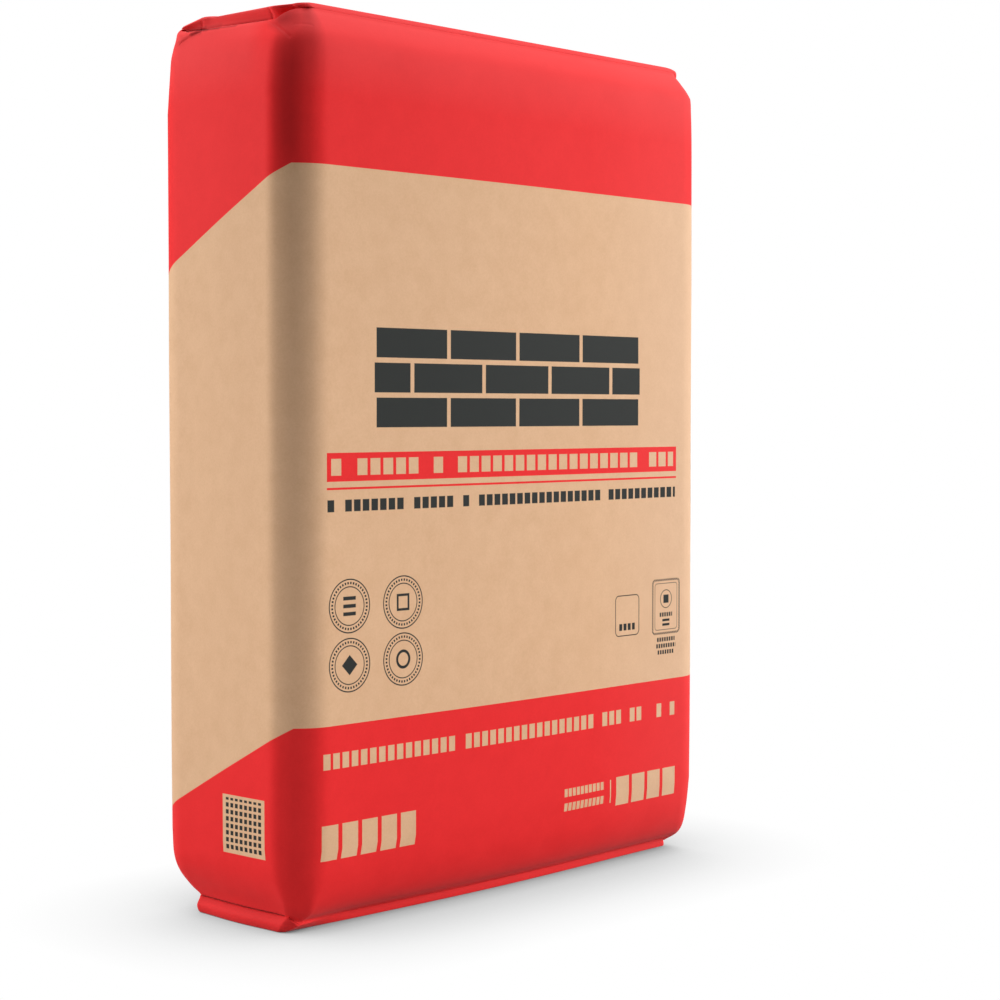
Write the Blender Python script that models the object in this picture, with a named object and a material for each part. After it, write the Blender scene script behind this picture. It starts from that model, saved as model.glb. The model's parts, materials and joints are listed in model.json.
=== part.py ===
# Pasted valve sack of cement, filled and standing on its block bottom.
# A printed kraft paper tube folded into a block at each end, a cover sheet
# pasted on each block, and the paper valve sleeve in one top corner.
# Metres, +Z up. The origin is the middle of the base, on the floor.
# The front panel faces -Y and the panel with the valve faces -X.

from collections import namedtuple
from math import cos, pi, sin

import bmesh
import bpy

# Driving dimensions of the filled sack
SACK_HEIGHT = 0.500
SACK_WIDTH = 0.348
SACK_DEPTH = 0.121          # across the vertical edges
FACE_CAMBER = 0.0022        # how far the two broad panels bulge at their middle
SIDE_CAMBER = 0.0006        # the same for the two narrow panels
EDGE_RADIUS = 0.025         # of the vertical edges

# Cover sheets. Each is pasted inside the rim of its block, flush with it.
SHEET_THICKNESS = 0.0008
PASTE_GAP = 0.0003
RIM_WIDTH = 0.003           # of the block's paper left bare around the sheet
SHEET_CORNER = 0.004

# Printed bands: the height of their edges on the front panel, and how far
# both edges fall from the front to the back along the narrow panels
LOWER_BAND_EDGE = 0.1138
UPPER_BAND_EDGE = 0.4126
BAND_FALL = 0.053

# Valve: a flat slot under the top block's end, wider towards the back
VALVE_DEPTH = 0.013         # into the block, from its end
VALVE_FRONT = -0.032        # where the slot starts and ends along Y
VALVE_BACK = 0.050
VALVE_HEIGHT = 0.4916
VALVE_GAP_FRONT = 0.0013
VALVE_GAP_BACK = 0.0032
EAR_OUT = 0.0038            # how far the block's back corner stands out over it
EAR_BACK = 0.0012
EAR_RUN = 0.012             # the length of panel over which the corner is drawn out
EAR_START = 0.026           # where that begins along Y
SLEEVE_THICKNESS = 0.0006
SLEEVE_OUT = 0.0010         # how far the sleeve's mouth stands out of the block
SLEEVE_BACK = 0.0405

# Resolution of the tube's cross-section
BROAD_STEPS = 12
NARROW_STEPS = 6
CORNER_STEPS = 6

HALF_WIDTH = SACK_WIDTH / 2
HALF_DEPTH = SACK_DEPTH / 2

# Each end of the tube, from the block's rim to the plain tube, in millimetres:
# the height from the end and the inset from the tube's half width on the narrow
# panels, the same two on the broad panels, the radius of the section's corners,
# and the share of the camber that the broad and narrow panels have there.
EndLine = namedtuple("EndLine", "narrow_rise narrow_inset broad_rise broad_inset radius camber")
BOTTOM_END = (
    EndLine(0.0, 14.4, 0.0, 23.6, 2.5, 1.0),      # rim of the foot
    EndLine(1.0, 13.4, 0.5, 22.9, 3.0, 1.0),
    EndLine(4.6, 13.0, 2.2, 22.4, 4.0, 1.0),      # middle of the end roll
    EndLine(8.2, 14.4, 3.6, 22.3, 4.0, 1.0),
    EndLine(9.8, 17.4, 4.5, 22.3, 4.0, 1.0),      # crease above the foot
    EndLine(11.2, 15.0, 5.4, 16.4, 7.0, 1.0),
    EndLine(15.4, 10.2, 10.6, 10.5, 11.5, 1.0),   # shoulder
    EndLine(24.0, 4.6, 21.0, 5.6, 17.0, 1.0),
    EndLine(34.0, 1.3, 32.0, 1.9, 22.0, 1.0),
    EndLine(48.0, 0.0, 47.0, 0.2, 25.0, 1.0),
)
TOP_END = (
    EndLine(0.0, 20.5, 0.0, 17.2, 4.0, 0.1),      # rim of the top
    EndLine(1.5, 15.0, 0.6, 16.5, 4.5, 0.1),
    EndLine(4.5, 11.8, 1.8, 16.2, 4.5, 0.1),      # middle of the end roll
    EndLine(7.2, 11.4, 2.7, 16.2, 4.5, 0.1),
    EndLine(8.5, 14.2, 3.2, 17.0, 4.5, 0.1),      # crease below the block
    EndLine(10.0, 11.8, 4.6, 14.6, 7.0, 0.2),
    EndLine(14.0, 7.6, 9.4, 10.5, 10.0, 0.3),     # shoulder
    EndLine(20.5, 1.6, 19.0, 4.2, 17.0, 0.6),
    EndLine(31.0, 1.0, 34.0, 1.2, 22.0, 0.9),
    EndLine(50.0, 0.0, 59.0, 0.0, 25.0, 1.0),
)
EAR_LINES = TOP_END[1:6]    # the lines whose back left corner is drawn out
BLOCK_END = max(HALF_WIDTH - line.narrow_inset / 1000 for line in TOP_END[:4])

# Colours
KRAFT = (0.70, 0.46, 0.28)
RED_PRINT = (0.80, 0.045, 0.050)
PALE_KRAFT = (0.74, 0.52, 0.34)
KRAFT_SLOT, RED_SLOT = 0, 1


def start_empty():
    for item in list(bpy.data.objects):
        bpy.data.objects.remove(item)


def make_collection(name):
    group = bpy.data.collections.new(name)
    bpy.context.scene.collection.children.link(group)
    return group


def paper(name, colour, roughness):
    material = bpy.data.materials.new(name)
    material.use_nodes = True
    shader = material.node_tree.nodes["Principled BSDF"]
    shader.inputs["Base Color"].default_value = (*colour, 1.0)
    shader.inputs["Roughness"].default_value = roughness
    shader.inputs["Metallic"].default_value = 0.0
    return material


def add_object(mesh_builder, name, group, materials):
    mesh = bpy.data.meshes.new(name)
    mesh_builder.normal_update()
    mesh_builder.to_mesh(mesh)
    mesh_builder.free()
    for material in materials:
        mesh.materials.append(material)
    item = bpy.data.objects.new(name, mesh)
    group.objects.link(item)
    return item


def section(half_width, half_depth, radius, fullness):
    """Points of a rounded rectangle with cambered sides, from its front left
    corner anticlockwise. Each is x, y and its share of narrow panel, 0 to 1."""
    points = []
    straight_x = half_width - radius
    straight_y = half_depth - radius
    corners = (
        (-straight_x, -straight_y, pi),
        (straight_x, -straight_y, 1.5 * pi),
        (straight_x, straight_y, 0.0),
        (-straight_x, straight_y, 0.5 * pi),
    )
    for index, (x, y, start) in enumerate(corners):
        for step in range(CORNER_STEPS + 1):
            angle = start + 0.5 * pi * step / CORNER_STEPS
            points.append((x + radius * cos(angle), y + radius * sin(angle), cos(angle) ** 2))
        broad = index % 2 == 0
        steps = BROAD_STEPS if broad else NARROW_STEPS
        camber = (FACE_CAMBER if broad else SIDE_CAMBER) * fullness
        out_x, out_y = ((0, -1), (1, 0), (0, 1), (-1, 0))[index]
        last_x, last_y, narrow = points[-1]
        next_x, next_y = (
            (straight_x, -half_depth),
            (half_width, straight_y),
            (-straight_x, half_depth),
            (-half_width, -straight_y),
        )[index]
        for step in range(1, steps):
            along = step / steps
            bulge = camber * sin(pi * along)
            points.append((
                last_x + (next_x - last_x) * along + out_x * bulge,
                last_y + (next_y - last_y) * along + out_y * bulge,
                round(narrow),
            ))
    return points


def end_ring(line, base, direction):
    """One ring of an end: base is the height of the block's rim, and direction
    is 1 for the lower end and -1 for the upper one."""
    half_width = HALF_WIDTH - line.narrow_inset / 1000
    half_depth = HALF_DEPTH - line.broad_inset / 1000
    ring = []
    for x, y, narrow in section(half_width, half_depth, line.radius / 1000, line.camber):
        rise = line.broad_rise + (line.narrow_rise - line.broad_rise) * narrow
        ring.append((x, y, base + direction * rise / 1000))
    return ring


def with_ear(ring):
    """The same ring with its back left corner drawn out over the valve."""
    left_end = min(x for x, y, z in ring)
    drawn = []
    for x, y, z in ring:
        along_width = max(0.0, 1 - (x - left_end) / EAR_RUN)
        along_depth = max(0.0, min(1.0, (y - EAR_START) / EAR_RUN))
        share = along_width * along_depth
        drawn.append((x - EAR_OUT * share, y + EAR_BACK * share, z))
    return drawn


def band_ring(front_height):
    """A ring on the plain tube along the edge of a printed band."""
    straight = HALF_DEPTH - EDGE_RADIUS
    ring = []
    for x, y, narrow in section(HALF_WIDTH, HALF_DEPTH, EDGE_RADIUS, 1.0):
        share = min(max((y + HALF_DEPTH) / (2 * HALF_DEPTH), 0.0), 1.0)
        if abs(y) > straight and narrow < 0.5:
            share = round(share)
        ring.append((x, y, front_height - BAND_FALL * share))
    return ring


def sack_rings():
    """All rings of the tube, bottom to top, each with the colour slot of the
    paper above it."""
    rings = [(end_ring(line, 0.0, 1), RED_SLOT) for line in BOTTOM_END]
    rings.append((band_ring(LOWER_BAND_EDGE), KRAFT_SLOT))
    rings.append((band_ring((LOWER_BAND_EDGE + UPPER_BAND_EDGE) / 2), KRAFT_SLOT))
    rings.append((band_ring(UPPER_BAND_EDGE), RED_SLOT))
    for line in reversed(TOP_END):
        ring = end_ring(line, SACK_HEIGHT, -1)
        rings.append((with_ear(ring) if line in EAR_LINES else ring, RED_SLOT))
    return rings


def make_sack(group, materials):
    """The tube is drawn up from its foot ring by ring, and each end is then
    let in by the thickness of the sheet that is pasted there."""
    mesh = bmesh.new()
    (first_ring, slot), *other_rings = sack_rings()
    foot = cap = mesh.faces.new([mesh.verts.new(point) for point in first_ring])
    foot.material_index = RED_SLOT
    for ring, next_slot in other_rings:
        before = set(mesh.faces)
        last_cap = cap
        new_geometry = bmesh.ops.extrude_face_region(mesh, geom=[last_cap])["geom"]
        cap = next(item for item in new_geometry if isinstance(item, bmesh.types.BMFace))
        if last_cap is not foot:
            bmesh.ops.delete(mesh, geom=[last_cap], context="FACES_ONLY")
        for vert, point in zip(cap.verts, ring):
            vert.co = point
        for face in set(mesh.faces) - before:
            face.material_index = slot
        slot = next_slot
    bmesh.ops.recalc_face_normals(mesh, faces=mesh.faces)
    for face, inward in ((foot, 1), (cap, -1)):
        bmesh.ops.inset_individual(mesh, faces=[face], thickness=RIM_WIDTH, use_even_offset=True)
        recess = (0, 0, inward * (SHEET_THICKNESS + PASTE_GAP))
        bmesh.ops.translate(mesh, vec=recess, verts=face.verts)
    return add_object(mesh, "sack", group, materials)


def flat_sheet(name, rim, bottom, group, material):
    """A rectangular sheet with rounded corners, inside the given rim."""
    half_width = HALF_WIDTH - rim.narrow_inset / 1000 - RIM_WIDTH - PASTE_GAP
    half_depth = HALF_DEPTH - rim.broad_inset / 1000 - RIM_WIDTH - PASTE_GAP
    mesh = bmesh.new()
    bmesh.ops.create_cube(mesh, size=1.0)
    bmesh.ops.scale(mesh, vec=(2 * half_width, 2 * half_depth, SHEET_THICKNESS), verts=mesh.verts)
    bmesh.ops.translate(mesh, vec=(0, 0, bottom + SHEET_THICKNESS / 2), verts=mesh.verts)
    upright = [edge for edge in mesh.edges if edge.verts[0].co.z != edge.verts[1].co.z]
    bmesh.ops.bevel(mesh, geom=upright, offset=SHEET_CORNER, segments=4, profile=0.5,
                    affect="EDGES")
    return add_object(mesh, name, group, [material])


def valve_wedge(name, x_range, y_range, heights, group, materials):
    """A flat wedge lying on the valve's middle plane, with its own height at
    its front and at its back."""
    left, right = x_range
    front, back = y_range
    mesh = bmesh.new()
    bmesh.ops.create_cube(mesh, size=1.0)
    for vert in mesh.verts:
        height = heights[0] if vert.co.y < 0 else heights[1]
        vert.co.x = left if vert.co.x < 0 else right
        vert.co.y = front if vert.co.y < 0 else back
        vert.co.z = VALVE_HEIGHT + (height / 2 if vert.co.z > 0 else -height / 2)
    return add_object(mesh, name, group, materials)


def cut_valve_slot(sack, cutters):
    slot = valve_wedge("valve_slot_cutter", (-SACK_WIDTH, VALVE_DEPTH - BLOCK_END),
                       (VALVE_FRONT, VALVE_BACK), (VALVE_GAP_FRONT, VALVE_GAP_BACK), cutters, [])
    slot.display_type = "WIRE"
    slot.hide_render = True
    cut = sack.modifiers.new("valve slot", "BOOLEAN")
    cut.operation = "DIFFERENCE"
    cut.solver = "EXACT"
    cut.object = slot


def make_valve_sleeve(group, material):
    clearance = (VALVE_GAP_FRONT - SLEEVE_THICKNESS) / 2
    return valve_wedge("valve_sleeve",
                       (-BLOCK_END - SLEEVE_OUT, VALVE_DEPTH - BLOCK_END - clearance),
                       (VALVE_FRONT + clearance, SLEEVE_BACK),
                       (SLEEVE_THICKNESS, SLEEVE_THICKNESS), group, [material])


def build():
    start_empty()
    group = make_collection("cement_bag")
    cutters = make_collection("cutters")
    kraft = paper("kraft_paper", KRAFT, 0.75)
    red = paper("red_printed_paper", RED_PRINT, 0.55)
    pale = paper("cover_sheet_paper", PALE_KRAFT, 0.80)

    sack = make_sack(group, [kraft, red])
    cut_valve_slot(sack, cutters)
    flat_sheet("bottom_sheet", BOTTOM_END[0], 0.0, group, pale)
    flat_sheet("top_sheet", TOP_END[0], SACK_HEIGHT - SHEET_THICKNESS, group, pale)
    make_valve_sleeve(group, pale)


build()
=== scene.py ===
import json
from functools import reduce
from math import cos, pi, radians, sin

import bmesh
import bpy
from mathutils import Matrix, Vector, noise

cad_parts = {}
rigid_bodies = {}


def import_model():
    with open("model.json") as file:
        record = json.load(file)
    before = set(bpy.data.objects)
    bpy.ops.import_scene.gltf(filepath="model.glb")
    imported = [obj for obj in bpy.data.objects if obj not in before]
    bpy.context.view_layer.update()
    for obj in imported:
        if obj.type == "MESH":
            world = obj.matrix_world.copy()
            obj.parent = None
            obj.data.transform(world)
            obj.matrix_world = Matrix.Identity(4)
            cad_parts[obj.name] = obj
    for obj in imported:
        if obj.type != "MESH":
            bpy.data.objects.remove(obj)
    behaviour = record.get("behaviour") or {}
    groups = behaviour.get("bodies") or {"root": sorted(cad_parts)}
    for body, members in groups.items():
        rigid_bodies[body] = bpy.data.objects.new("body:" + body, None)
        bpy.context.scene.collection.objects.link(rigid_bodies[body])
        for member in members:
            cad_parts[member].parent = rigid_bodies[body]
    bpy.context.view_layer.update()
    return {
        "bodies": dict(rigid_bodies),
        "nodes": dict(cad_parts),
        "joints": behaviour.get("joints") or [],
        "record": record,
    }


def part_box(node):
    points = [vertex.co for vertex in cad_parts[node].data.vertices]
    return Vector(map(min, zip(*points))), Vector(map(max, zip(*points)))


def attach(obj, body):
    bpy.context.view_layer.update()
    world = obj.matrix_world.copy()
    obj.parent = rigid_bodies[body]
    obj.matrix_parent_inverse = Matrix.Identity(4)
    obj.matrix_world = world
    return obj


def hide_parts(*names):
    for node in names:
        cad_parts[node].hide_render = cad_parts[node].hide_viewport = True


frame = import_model()
millimetre = 0.001


def smooth(low, high, value):
    share = min(max((value - low) / (high - low), 0.0), 1.0)
    return share * share * (3 - 2 * share)


def blendOf(first, last, share):
    return first + (last - first) * share


# The sack is one printed paper web rolled into a tube. Its mesh starts as a flat
# grid that carries the print's coordinates, and is then rolled up and folded in at
# both ends. Lengths are in millimetres.
sackShape = {
    "halfWidth": 174.0,
    "halfDepth": 60.5,
    "frontCamber": 2.2,             # how far the broad panels bulge
    "sideCamber": 0.6,
    "edgeRadius": 25.0,
    "frontLeft": [(12, 30), (34, 62), (22, 90)],    # arcs of an edge: radius, and turn reached
    "otherEdges": [(25, 90)],
    "broadColumns": 120,
    "narrowColumns": 48,
    "cornerColumns": 20,
    "endRows": 6,                   # rows between two lines of an end
    "bodyRows": 52,
    "seamWidth": 28.0,
    "seamFade": 4.0,
    "seamStep": 0.35,
    "rimDrop": 0.35,                # the folded ends lie this far below the cover sheets
    "capShift": 0.7,                # in metres, puts the closed ends inside the red bands
}

# Each end from the block's rim to the plain tube, as height from the end and inset
# from the tube, on the left, right and broad panels, then the radius of the
# section's corners and the share of camber that the panels have. Lists left out are
# nothing at every line. A fold breaks the smooth curve through the lines.
bottomEnd = {
    "left": [(0, 13.4), (1.2, 12.2), (4.6, 11.2), (8.1, 12.8), (9.7, 14.4),
             (11.0, 13.2), (15.4, 10.2), (24, 4.6), (34, 0.9), (48, 0)],
    "right": [(0, 9.6), (0.5, 9.2), (1.4, 9.0), (2.3, 9.0), (2.8, 9.2),
              (3.6, 7.2), (8.0, 4.6), (15, 3.3), (30, 1.5), (48, 0)],
    "broad": [(0, 25.5), (0.5, 25.2), (2.0, 25.2), (3.6, 25.5), (4.8, 25.8),
              (6.6, 22.2), (11.4, 13.4), (20, 6.2), (31, 1.9), (47, 0.2)],
    "radius": [3.2, 3.2, 3.4, 3.4, 3.6, 6, 11, 17.5, 23, 25],
    "nearRadius": [4, 4, 4, 4.5, 5, 9, 13, 17, 22, 25],
    # How far out the front is near the left edge, how far out the back is, and how
    # far the back's left end has risen
    "nearOut": [-1.6, -0.4, 3.0, 6.5, 8.0, 4.0, 1.0, 0, 0, 0],
    "backOut": [3.2, 3.2, 3.2, 3.2, 4.2, 2.6, 0.8, 0, 0, 0],
    "backRise": [0, 0.7, 2.4, 4.3, 4.9, 4.4, 3.0, 1.2, 0.3, 0],
    "camber": [2.3, 2.3, 2.3, 2.3, 2.2, 1.9, 1.3, 1, 1, 1],
    "folds": {"left": [], "right": [], "broad": [4]},
    "crease": {"left": 5.0, "right": 0.3, "broad": 0.3},
    "lipGap": 0.5,                  # how far the crease's lips stay apart, 1 for all the way
}
topEnd = {
    "left": [(0, 22.0), (1.2, 15.4), (2.2, 12.2), (5.6, 13.6), (8.2, 13.0),
             (9.6, 7.6), (14, 5.2), (20.5, 3.2), (31, 1.7), (50, 0)],
    "right": [(0, 20.5), (1.5, 15.0), (4.5, 11.0), (7.0, 10.2), (8.4, 10.8),
              (9.6, 9.8), (14.8, 5.6), (21, 0.3), (25, 0), (50, 0)],
    "broad": [(0, 16.7), (0.5, 15.9), (1.6, 15.0), (2.6, 14.4), (3.3, 14.1),
              (4.9, 13.0), (9.4, 9.0), (19.4, 2.7), (34, 0.7), (59, 0)],
    "radius": [4, 4.5, 5, 6, 8, 11, 16, 21, 24, 25],
    "nearRadius": [10, 10.5, 11, 12.5, 16, 20, 22.5, 24, 25, 25],
    # How far the left panel comes in near the front, and over its last stretch
    "slant": [0, 1, 3, 5, 7, 5.5, 3.5, 1.5, 0.4, 0],
    "cornerCut": [2.5, 5.6, 7.0, 5.5, 3.5, 2.0, 0.8, 0, 0, 0],
    "camber": [0.1, 0.1, 0.1, 0.1, 0.1, 0.2, 0.3, 0.6, 0.9, 1],
    "folds": {"left": [2], "right": [7], "broad": []},
    "crease": {"left": 3.0, "right": 1.2, "broad": 0.4},
    "lipGap": 0.4,
}
creaseLine = 4                      # the line of either end that has the crease
creaseReach = 0.5                   # of the space to the next lines
creaseSharpness = 1.4
creaseFade = {"bottom": (12.0, 9.0), "body": (1.0, 1.0), "top": (22.0, 8.0)}    # front and back
bodySettles = 8                     # the broad panels' last inset is gone after 1/8 of the body
camberShape = 1.5                   # more than 1 keeps the bulge off the panel's edges
sides = ("left", "right", "broad")
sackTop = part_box("sack")[1].z / millimetre
midHeight = sackTop * millimetre / 2


def throughLines(values, place, folds):
    index = min(int(place), len(values) - 2)
    share = place - index
    first, last = values[index], values[index + 1]
    rise = last - first
    if index > 0 and index not in folds:
        slopeA = (last - values[index - 1]) / 2
    else:
        slopeA = rise
    if index + 2 < len(values) and index + 1 not in folds:
        slopeB = (values[index + 2] - first) / 2
    else:
        slopeB = rise
    return ((2 * share ** 3 - 3 * share ** 2 + 1) * first
            + (share ** 3 - 2 * share ** 2 + share) * slopeA
            + (3 * share ** 2 - 2 * share ** 3) * last
            + (share ** 3 - share ** 2) * slopeB)


def endShape(lines, end, place):
    shape = {"end": end, "place": place}
    for side in sides:
        folds = lines["folds"][side]
        up, inset = (throughLines([pair[k] for pair in lines[side]], place, folds)
                     for k in (0, 1))
        offset = abs(place - creaseLine)
        middle = lines[side][creaseLine][0]
        pinch = blendOf(lines["lipGap"], 1.0, smooth(creaseReach, 1.0, offset))
        if offset < 1:
            up = middle + (up - middle) * pinch
        shape[side + "Up"] = up if end == "bottom" else sackTop - up
        shape[side + "In"] = inset
        shape[side + "Crease"] = (lines["crease"][side]
                                  * max(0.0, 1 - offset / creaseReach) ** creaseSharpness)
    for name in ("radius", "nearRadius", "nearOut", "backOut", "backRise", "slant", "cornerCut",
                 "camber"):
        shape[name] = throughLines(lines[name], place, []) if name in lines else 0.0
    return shape


def rowShapes():
    # What each row of the grid becomes, with its height on the flat paper
    steps = sackShape["endRows"]
    endCount = (len(bottomEnd["broad"]) - 1) * steps
    body = sackShape["bodyRows"]
    shapes = [endShape(bottomEnd, "bottom", row / steps) for row in range(endCount + 1)]
    top = [endShape(topEnd, "top", row / steps) for row in range(endCount, -1, -1)]
    for row in range(1, body):
        shape = dict(shapes[endCount], end="body", place=row / body)
        for side in sides:
            shape[side + "Up"] = blendOf(shapes[endCount][side + "Up"], top[0][side + "Up"],
                                         row / body)
        shape["broadIn"] *= max(0.0, 1 - bodySettles * row / body)
        shapes.append(shape)
    shapes += top
    middle = endCount + body // 2
    for side in sides:
        shapes[middle][side + "Flat"] = shapes[middle][side + "Up"]
        for step in (1, -1):
            for row in range(middle + step, len(shapes) if step > 0 else -1, step):
                here, last = shapes[row], shapes[row - step]
                rise = here[side + "Up"] - last[side + "Up"]
                run = here[side + "In"] - last[side + "In"]
                here[side + "Flat"] = last[side + "Flat"] + step * (rise ** 2 + run ** 2) ** 0.5
    return shapes


def edgeCurve(arcs, share):
    # How far a vertical edge's section has come in from the narrow panel's plane
    # and along it, how far it has turned, and its whole length
    lengths = []
    start = 0
    for radius, end in arcs:
        lengths.append(radius * radians(end - start))
        start = end
    left = share * sum(lengths)
    inward = along = turn = 0.0
    for (radius, end), length in zip(arcs, lengths):
        step = min(left, length)
        turned = turn + step / radius
        inward += radius * (cos(turn) - cos(turned))
        along += radius * (sin(turned) - sin(turn))
        turn = turned
        left -= step
    return inward, along, turn, sum(lengths)


def edgeArcs(panel):
    return sackShape.get(panel, sackShape["otherEdges"])


def columnPlaces():
    # The panel and the share of it for each column, from the seam round by the left
    # panel, and the column's distance across the flat paper from the front's middle
    reach = {}
    for panel in ("frontLeft", "frontRight", "backLeft", "backRight"):
        reach[panel] = edgeCurve(edgeArcs(panel), 1.0)
    broad, narrow = sackShape["broadColumns"], sackShape["narrowColumns"]
    corner = sackShape["cornerColumns"]
    width, depth = 2 * sackShape["halfWidth"], 2 * sackShape["halfDepth"]
    backRun = width - reach["backLeft"][0] - reach["backRight"][0]
    frontRun = width - reach["frontLeft"][0] - reach["frontRight"][0]
    leftRun = depth - reach["frontLeft"][1] - reach["backLeft"][1]
    rightRun = depth - reach["frontRight"][1] - reach["backRight"][1]
    panels = [
        ("back", 0.5, 0.0, backRun / 2, broad // 2),
        ("backLeft", 1.0, 0.0, reach["backLeft"][3], corner),
        ("left", 1.0, 0.0, leftRun, narrow),
        ("frontLeft", 0.0, 1.0, reach["frontLeft"][3], corner),
        ("front", 0.0, 1.0, frontRun, broad),
        ("frontRight", 1.0, 0.0, reach["frontRight"][3], corner),
        ("right", 0.0, 1.0, rightRun, narrow),
        ("backRight", 0.0, 1.0, reach["backRight"][3], corner),
        ("back", 1.0, 0.5, backRun / 2, broad // 2),
    ]
    places = []
    walked = middle = 0.0
    for name, start, end, length, count in panels:
        if name == "front":
            middle = walked + width / 2 - reach["frontLeft"][0]
        for step in range(count):
            share = step / count
            places.append((name, blendOf(start, end, share), walked + length * share))
        walked += length
    places.append(("back", 0.5, walked))
    return [(name, share, distance - middle) for name, share, distance in places]


def creaseShare(shape, fromFront, fromBack):
    # The narrow panels' creases die out towards the broad panels
    front, back = creaseFade[shape["end"]]
    return smooth(0, front, fromFront) * smooth(0, back, fromBack)


# Where each thing that happens towards the near corner starts, and where it is whole:
# places along the left panel, one across the front panel, and lines of the end
nearCorner = {
    "slant": (30, -34),
    "cut": (-26, -38),
    "merge": (-28.5, -41),
    "mergeLines": (4.2, 6.5),
    "frontStart": -112,
}


def slantAt(shape, y):
    return (shape["slant"] * smooth(*nearCorner["slant"], y)
            + shape["cornerCut"] * smooth(*nearCorner["cut"], y))


def mergeAt(shape, y):
    # The top block's side ledge runs out into the front's slope before the near corner
    if shape["end"] != "top":
        return 0.0
    above = 1 - smooth(*nearCorner["mergeLines"], shape["place"])
    return smooth(*nearCorner["merge"], y) * above


def tubePoint(shape, panel, share):
    # A point of the rolled tube and its height on the flat paper. Shares on a broad
    # panel run left to right, and on a narrow one front to back.
    left = -sackShape["halfWidth"] + shape["leftIn"]
    right = sackShape["halfWidth"] - shape["rightIn"]
    deep = sackShape["halfDepth"] - shape["broadIn"] - shape["broadCrease"]
    deepNear = deep + shape["nearOut"]
    deepBack = deep + shape["backOut"]
    reach = {}
    for edge in ("frontLeft", "frontRight", "backLeft", "backRight"):
        inward, along = edgeCurve(edgeArcs(edge), 1.0)[:2]
        name = "nearRadius" if edge == "frontLeft" else "radius"
        scale = shape[name] / sackShape["edgeRadius"]
        reach[edge] = (inward * scale, along * scale, scale)
    if panel in ("front", "back"):
        facing = -1 if panel == "front" else 1
        x = blendOf(left + reach[panel + "Left"][0], right - reach[panel + "Right"][0], share)
        wall = deepBack
        if panel == "front":
            wall = deep + shape["nearOut"] * smooth(nearCorner["frontStart"], left, x)
        wall += sackShape["frontCamber"] * shape["camber"] * sin(pi * share) ** camberShape
        up = shape["broadUp"]
        if panel == "back":
            up += shape["backRise"] * smooth(right, left, x)
        return Vector((x, facing * wall, up)), shape["broadFlat"]
    side = "left" if "eft" in panel else "right"
    facing = -1 if side == "left" else 1
    out = left if side == "left" else right
    if panel in ("left", "right"):
        name = panel.capitalize()
        front = deepNear if side == "left" else deep
        y = blendOf(-front + reach["front" + name][1], deepBack - reach["back" + name][1], share)
        bulge = sackShape["sideCamber"] * shape["camber"] * sin(pi * share) ** camberShape
        bulge -= shape[side + "Crease"] * creaseShare(shape, y + front, deepBack - y)
        if side == "left":
            bulge -= slantAt(shape, y)
        merge = mergeAt(shape, y) if side == "left" else 0.0
        up = blendOf(shape[side + "Up"], shape["broadUp"], merge)
        flat = blendOf(shape[side + "Flat"], shape["broadFlat"], merge)
        return Vector((out + facing * bulge, y, up)), flat
    inward, along, turn = edgeCurve(edgeArcs(panel), share)[:3]
    scale = reach[panel][2]
    fromEdge = reach[panel][1] - along * scale
    front = deepNear if panel == "frontLeft" else deep
    y = -front + fromEdge if "front" in panel else deepBack - fromEdge
    narrowShare = cos(turn) ** 2
    if panel == "frontLeft":
        narrowShare *= 1 - mergeAt(shape, y)
    broadUp = shape["broadUp"] + (shape["backRise"] if panel == "backLeft" else 0)
    up = blendOf(broadUp, shape[side + "Up"], narrowShare)
    flat = blendOf(shape["broadFlat"], shape[side + "Flat"], narrowShare)
    x = out - facing * inward * scale
    x -= facing * shape[side + "Crease"] * creaseShare(shape, y + front, deepBack - y)
    if side == "left":
        x += slantAt(shape, y) * cos(turn)
    return Vector((x, y, up)), flat


# The valve is a flat pocket under the top block's left end. At the back its upper
# lip is the block's corner, crushed and drawn out into an ear, and its lower lip
# stands out with a crease below it. A pair is where a thing starts and where it is
# whole, along the panel unless its name says x or lines.
valvePocket = {
    "height": 491.7,
    "rise": 1.9,                    # how much higher the mouth is at the back
    "risePlace": (27.0, 41.6),
    "depth": 13.6,
    "lip": -161.0,                  # x of the pocket's mouth
    "start": (-31.5, -28.5),
    "end": (41.6, 43.6),
    "wallLines": (0.5, 0.17),       # lines from the crease over which the walls go in
    "mouthLines": 0.45,             # and within which they reach back from the mouth
    "frontGap": 1.0,
    "backGap": 2.6,
    "gapPlace": (22.0, 30.0),       # where the gap opens towards the back
    "gapShuts": (35.0, 41.6),
    "shutShare": 0.5,
    "innerHalf": 0.42,              # half the gap at the pocket's inner end
    "innerTurn": 6,
}
valveEar = {
    "start": 27.0,
    "run": 17.0,
    "width": 16.0,
    "end": -163.0,                  # x of the block's end
    "crush": 0.92,
    "out": 1.6,
    "back": 1.0,
    "rimOut": 5.0,                  # how far the rim is drawn out along the ear
    "rimLines": (3.2, 0),
    "rimX": (-142, -151),
    "rimPlace": (20.0, 26.0),
}
valveLip = {
    "out": 1.2,
    "back": 1.0,
    "place": (18.0, 44.0),
    "x": (-140, -160),
    "lines": (4.9, 7.0),            # where it has died out
    "crease": [(24, 490.6), (45, 483.0)],   # y and z of the crease below the lip
    "step": 1.0,
    "stepWidth": 0.6,
    "stepPlace": (20, 27),
    "stepEnd": (42, 50),
    "stepX": (-150, -160),
}


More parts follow.
